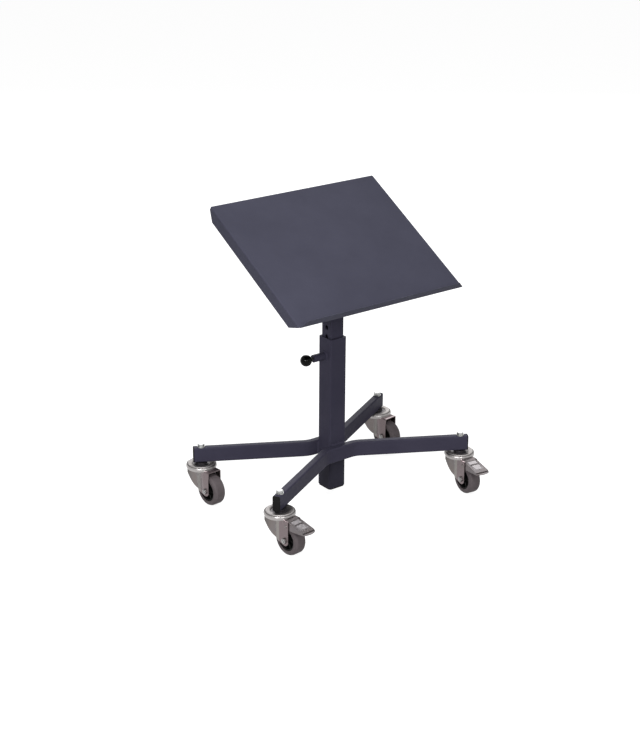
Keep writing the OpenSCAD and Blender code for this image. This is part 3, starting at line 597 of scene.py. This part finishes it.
forkShape = {
    "crease": 0.010,
    "back": -0.033,
    "half": 0.0205,
    "sheet": 0.0035,
    "bendRadius": 0.150,
    "bendStart": 4.0,
    "turnIn": 0.3,
    "longer": 0.0009,
    "lowEdge": (0.069, 0.0385),
    "fuller": 0.0030,
    "crown": 0.090,
    "rimInner": 0.0366,
    "smooth": 25,
}


def shiftCheek(back, across, height, setup):  # how far a point of a cheek moves out, back and down
    away = setup["crease"] - back
    if away < hair:
        return 0, 0, 0
    start = math.radians(setup["bendStart"])
    bend = math.asin(min(1, away / setup["bendRadius"] + math.sin(start)))
    inward = setup["bendRadius"] * (math.cos(start) - math.cos(bend))
    if abs(across) < setup["half"] - inward - setup["sheet"]:
        return 0, 0, 0
    push = inward - away * math.tan(math.radians(setup["turnIn"]))
    along = min(1, max(0, (back - setup["back"]) / (setup["crease"] - setup["back"])))
    high, low = setup["lowEdge"]
    edge = high + (low - high) * along
    weight = min(1, max(0, (setup["crown"] - height) / (setup["crown"] - edge)))
    drop = setup["fuller"] * math.sin(math.pi * along) * weight
    return math.copysign(push, across), setup["longer"] * (1 - along), drop


def reshapeFork(corner, setup):
    axis = casters[corner]["axis"]
    trail = casters[corner]["trail"]
    across = casters[corner]["across"]
    shape = nodeShape(corner + "_fork")
    for vert in shape.verts:
        flat = Vector(vert.co[:2]) - axis
        if flat.length > setup["rimInner"] and vert.co.z > setup["crown"]:  # the rim stays
            continue
        push, longer, drop = shiftCheek(flat.dot(trail), flat.dot(across), vert.co.z, setup)
        move = push * across - longer * trail
        vert.co += Vector((move.x, move.y, -drop))
    body = corner + "_swivel"
    replaceNode(corner + "_fork", corner + "PressedFork", shape, "zinc_plate", body, setup["smooth"])


for corner in corners:
    reshapeFork(corner, forkShape)
print("forks reshaped")


# Tubes: the photograph's outlines show crisper corners than the solids have

postShape = {
    "half": postHalf,
    "wall": 0.004,
    "round": 0.008,
    "crisp": 0.0035,
    "leastInside": 0.0003,
    "smooth": 25,
}

mastShape = dict(postShape, half=0.020, wall=0.003, round=0.006, crisp=0.0030)


def crispCorner(place, setup):  # moves a point of a round corner onto a tighter one
    flat = [abs(part) - setup["half"] + setup["round"] for part in place]
    if min(flat) < -hair:
        return place
    reach = math.hypot(*flat)
    if reach > setup["round"] - setup["wall"] / 2:  # the outside of the tube
        radius = setup["crisp"]
        inset = radius
    else:
        radius = max(setup["leastInside"], setup["crisp"] - setup["wall"])
        inset = setup["wall"] + radius
    made = [setup["half"] - inset + part * radius / reach for part in flat]
    return [math.copysign(made[i], place[i]) for i in (0, 1)]


def crispTube(name, body, setup):
    shape = nodeShape(name)
    for vert in shape.verts:
        vert.co.xy = Vector(crispCorner((vert.co.x, vert.co.y - postY), setup)) + Vector((0, postY))
    replaceNode(name, name + "Crisp", shape, "painted_steel", body, setup["smooth"])


crispTube("outer_post", "base", postShape)
crispTube("inner_post", "mast", mastShape)
print("tubes reshaped")


# Weld beads, laid in the corner between two faces

bead = {
    "steps": 8,
    "overlap": 6,
    "flatter": 0.17,
    "pitch": 0.0022,
    "ripple": 0.12,
    "rippleShape": 0.6,
    "rippleMiddle": 0.7,
    "lag": 0.0013,
    "sunk": 0.0012,
    "length": 0.00045,
    "endSize": 0.35,
    "endLength": 0.003,
    "wobbles": ((0.05, 310, 0), (0.03, 771, 2)),
}

legWeld = {
    "size": 0.0046,
    "halfLength": 0.0215,
    "grooveDepth": 0.0012,
    "grooveSize": 0.0046,
    "grooveInset": 0.003,
}

bossWeld = {
    "size": 0.0034,
    "radius": 0.0100,
}

bracketWeld = {  # stitches along the bracket's two sides, in the table's own frame
    "size": 0.0040,
    "side": 0.0265,
    "top": 0.0322,
    "starts": (-0.072, -0.020, 0.032),
    "length": 0.025,
}

plateWeld = {  # stitches round the plate under the table
    "size": 0.0034,
    "top": 0.0352,
    "middle": -0.0075,
    "side": 0.100,
    "sideStarts": (-0.0675, 0.0025),
    "edge": 0.085,
    "edgeStarts": (-0.070, 0.040),
    "length": 0.030,
}


def ringAcross(corner, sideA, sideB, size, walked):  # the middle of a ripple lags behind
    ring = []
    for step in range(bead["steps"] + 1):
        turn = math.radians(-bead["overlap"] + (90 + 2 * bead["overlap"]) * step / bead["steps"])
        bulge = math.sin(2 * turn)
        phase = math.pi * (walked + bead["lag"] * bulge) / bead["pitch"]
        ripple = abs(math.sin(phase)) ** bead["rippleShape"]
        swell = 1 + bead["ripple"] * (ripple - bead["rippleMiddle"])
        reach = size * (1 - bead["flatter"] * bulge) * swell
        ring.append(corner + reach * (math.cos(turn) * sideA + math.sin(turn) * sideB))
    ring.append(corner - bead["sunk"] * (sideA + sideB))
    return ring


def layBead(shape, corners, sidesA, sidesB, size, closed=False):
    total = len(corners)
    walked = 0
    rings = []
    length = sum((corners[i + 1] - corners[i]).length for i in range(total - 1))
    for i, corner in enumerate(corners):
        if i:
            walked += (corner - corners[i - 1]).length
        left = min(walked, length - walked)
        taper = bead["endSize"] + (1 - bead["endSize"]) * min(1, left / bead["endLength"]) ** 0.5
        if closed:
            taper = 1
        hand = 1 + sum(share * math.sin(rate * walked + shift) for share, rate, shift in bead["wobbles"])
        ring = ringAcross(corner, sidesA[i], sidesB[i], size * taper * hand, walked)
        rings.append([shape.verts.new(point) for point in ring])
    pairs = [(i, i + 1) for i in range(total - 1)]
    if closed:
        pairs.append((total - 1, 0))
    for near, far in pairs:
        for j in range(len(rings[0])):
            k = (j + 1) % len(rings[0])
            shape.faces.new((rings[near][j], rings[near][k], rings[far][k], rings[far][j]))
    if not closed:
        shape.faces.new(rings[0])
        shape.faces.new(rings[-1])


def layStraight(shape, start, end, sideA, sideB, size):
    start = Vector(start)
    end = Vector(end)
    count = max(8, round((end - start).length / bead["length"]))
    corners = [start.lerp(end, i / count) for i in range(count + 1)]
    layBead(shape, corners, [Vector(sideA)] * (count + 1), [Vector(sideB)] * (count + 1), size)


def weldLegs(setup):
    shape = bmesh.new()
    for side in (-1, 1):  # front and rear leg
        y = postY + side * postHalf
        for z, up in ((legTop, 1), (legBottom, -1)):
            left = (-setup["halfLength"], y, z)
            right = (setup["halfLength"], y, z)
            layStraight(shape, left, right, (0, 0, up), (0, side, 0), setup["size"])
        for end in (-1, 1):
            x = end * (postHalf - setup["grooveDepth"])  # the post's corner leaves a groove to fill
            low = (x, y, legBottom + setup["grooveInset"])
            high = (x, y, legTop - setup["grooveInset"])
            layStraight(shape, low, high, (0, -side, 0), (end, 0, 0), setup["grooveSize"])
    addPiece("legWelds", shape, "painted_steel", "base")


def weldBoss(setup):
    shape = bmesh.new()
    middle = Vector((-postHalf, postY, plungerHeight))
    count = round(2 * math.pi * setup["radius"] / bead["length"])
    turns = [2 * math.pi * i / count for i in range(count)]
    rays = [Vector((0, math.cos(turn), math.sin(turn))) for turn in turns]
    corners = [middle + setup["radius"] * ray for ray in rays]
    layBead(shape, corners, rays, [Vector((-1, 0, 0))] * count, setup["size"], closed=True)
    addPiece("bossWeld", shape, "painted_steel", "base")


def stitchBracket(shape, setup):
    for side in (-1, 1):
        for start in setup["starts"]:
            low = (side * setup["side"], start, setup["top"])
            high = (side * setup["side"], start + setup["length"], setup["top"])
            layStraight(shape, low, high, (side, 0, 0), (0, 0, -1), setup["size"])


def stitchPlate(shape, setup):
    for side in (-1, 1):
        for start in setup["sideStarts"]:
            low = (side * setup["side"], start, setup["top"])
            high = (side * setup["side"], start + setup["length"], setup["top"])
            layStraight(shape, low, high, (side, 0, 0), (0, 0, -1), setup["size"])
        edge = setup["middle"] + side * setup["edge"]
        for start in setup["edgeStarts"]:
            low = (start, edge, setup["top"])
            high = (start + setup["length"], edge, setup["top"])
            layStraight(shape, low, high, (0, side, 0), (0, 0, -1), setup["size"])


def weldTable():
    shape = bmesh.new()
    stitchBracket(shape, bracketWeld)
    stitchPlate(shape, plateWeld)
    slope = Matrix.Rotation(tableTilt, 4, "X")
    shape.transform(Matrix.Translation((0, postY, pivotHeight)) @ slope)
    addPiece("bracketWelds", shape, "painted_steel", "table")


weldLegs(legWeld)
weldBoss(bossWeld)
weldTable()
print("weld beads laid")


# Floor, world and lamps

studio = {
    "floorSize": 30,
    "floorColour": (0.45, 0.45, 0.45),
    "floorGlow": 0.82,
    "worldLight": 0.32,
    "lampTarget": (0, 0, 0.35),
}

lamps = {
    "keyLamp": {"place": (-0.9, -1.2, 3.6), "size": 2.2, "power": 80},
    "leftLamp": {"place": (-2.57, -1.70, 1.53), "size": 0.5, "power": 50},
    "rightLamp": {"place": (-0.98, -2.92, 1.53), "size": 0.5, "power": 18},
    "backLamp": {"place": (2.3, 3.0, 2.4), "size": 3.0, "power": 80},
}


def seenRays(tree):  # 1 for what the camera, a reflection or glass shows
    path = tree.nodes.new("ShaderNodeLightPath")
    seen = addMath(tree, "ADD", path.outputs["Is Camera Ray"], path.outputs["Is Glossy Ray"])
    return addMath(tree, "ADD", seen, path.outputs["Is Transmission Ray"])


def makeFloorMaterial(setup):
    material = bpy.data.materials.new("paleFloor")
    material.use_nodes = True
    tree = material.node_tree
    tree.nodes.clear()
    output = tree.nodes.new("ShaderNodeOutputMaterial")
    diffuse = tree.nodes.new("ShaderNodeBsdfDiffuse")
    diffuse.inputs["Color"].default_value = (*setup["floorColour"], 1)
    glow = tree.nodes.new("ShaderNodeEmission")
    tree.links.new(addProduct(tree, seenRays(tree), setup["floorGlow"]), glow.inputs["Strength"])
    both = tree.nodes.new("ShaderNodeAddShader")
    tree.links.new(diffuse.outputs["BSDF"], both.inputs[0])
    tree.links.new(glow.outputs["Emission"], both.inputs[1])
    tree.links.new(both.outputs["Shader"], output.inputs["Surface"])
    return material


def makeFloor(setup):
    half = setup["floorSize"] / 2
    mesh = bpy.data.meshes.new("floor")
    outline = [(-half, -half, 0), (half, -half, 0), (half, half, 0), (-half, half, 0)]
    mesh.from_pydata(outline, [], [(0, 1, 2, 3)])
    mesh.materials.append(makeFloorMaterial(setup))
    floor = bpy.data.objects.new("floor", mesh)
    scene.collection.objects.link(floor)


def makeWorld(setup):
    world = bpy.data.worlds.new("studio")
    world.use_nodes = True
    tree = world.node_tree
    back = tree.nodes["Background"]
    back.inputs["Color"].default_value = (1, 1, 1, 1)
    strength = addRange(tree, seenRays(tree), 0, 1, setup["worldLight"], 1)
    tree.links.new(strength, back.inputs["Strength"])
    scene.world = world


def makeLamp(name, setup, target):
    data = bpy.data.lights.new(name, "AREA")
    data.shape = "DISK"
    data.size = setup["size"]
    data.energy = setup["power"]
    lamp = bpy.data.objects.new(name, data)
    scene.collection.objects.link(lamp)
    lamp.location = setup["place"]
    aim = Vector(target) - Vector(setup["place"])
    lamp.rotation_euler = aim.to_track_quat("-Z", "Y").to_euler()


makeFloor(studio)
makeWorld(studio)
for name, setup in lamps.items():
    makeLamp(name, setup, studio["lampTarget"])
print("floor, world and lamps made")
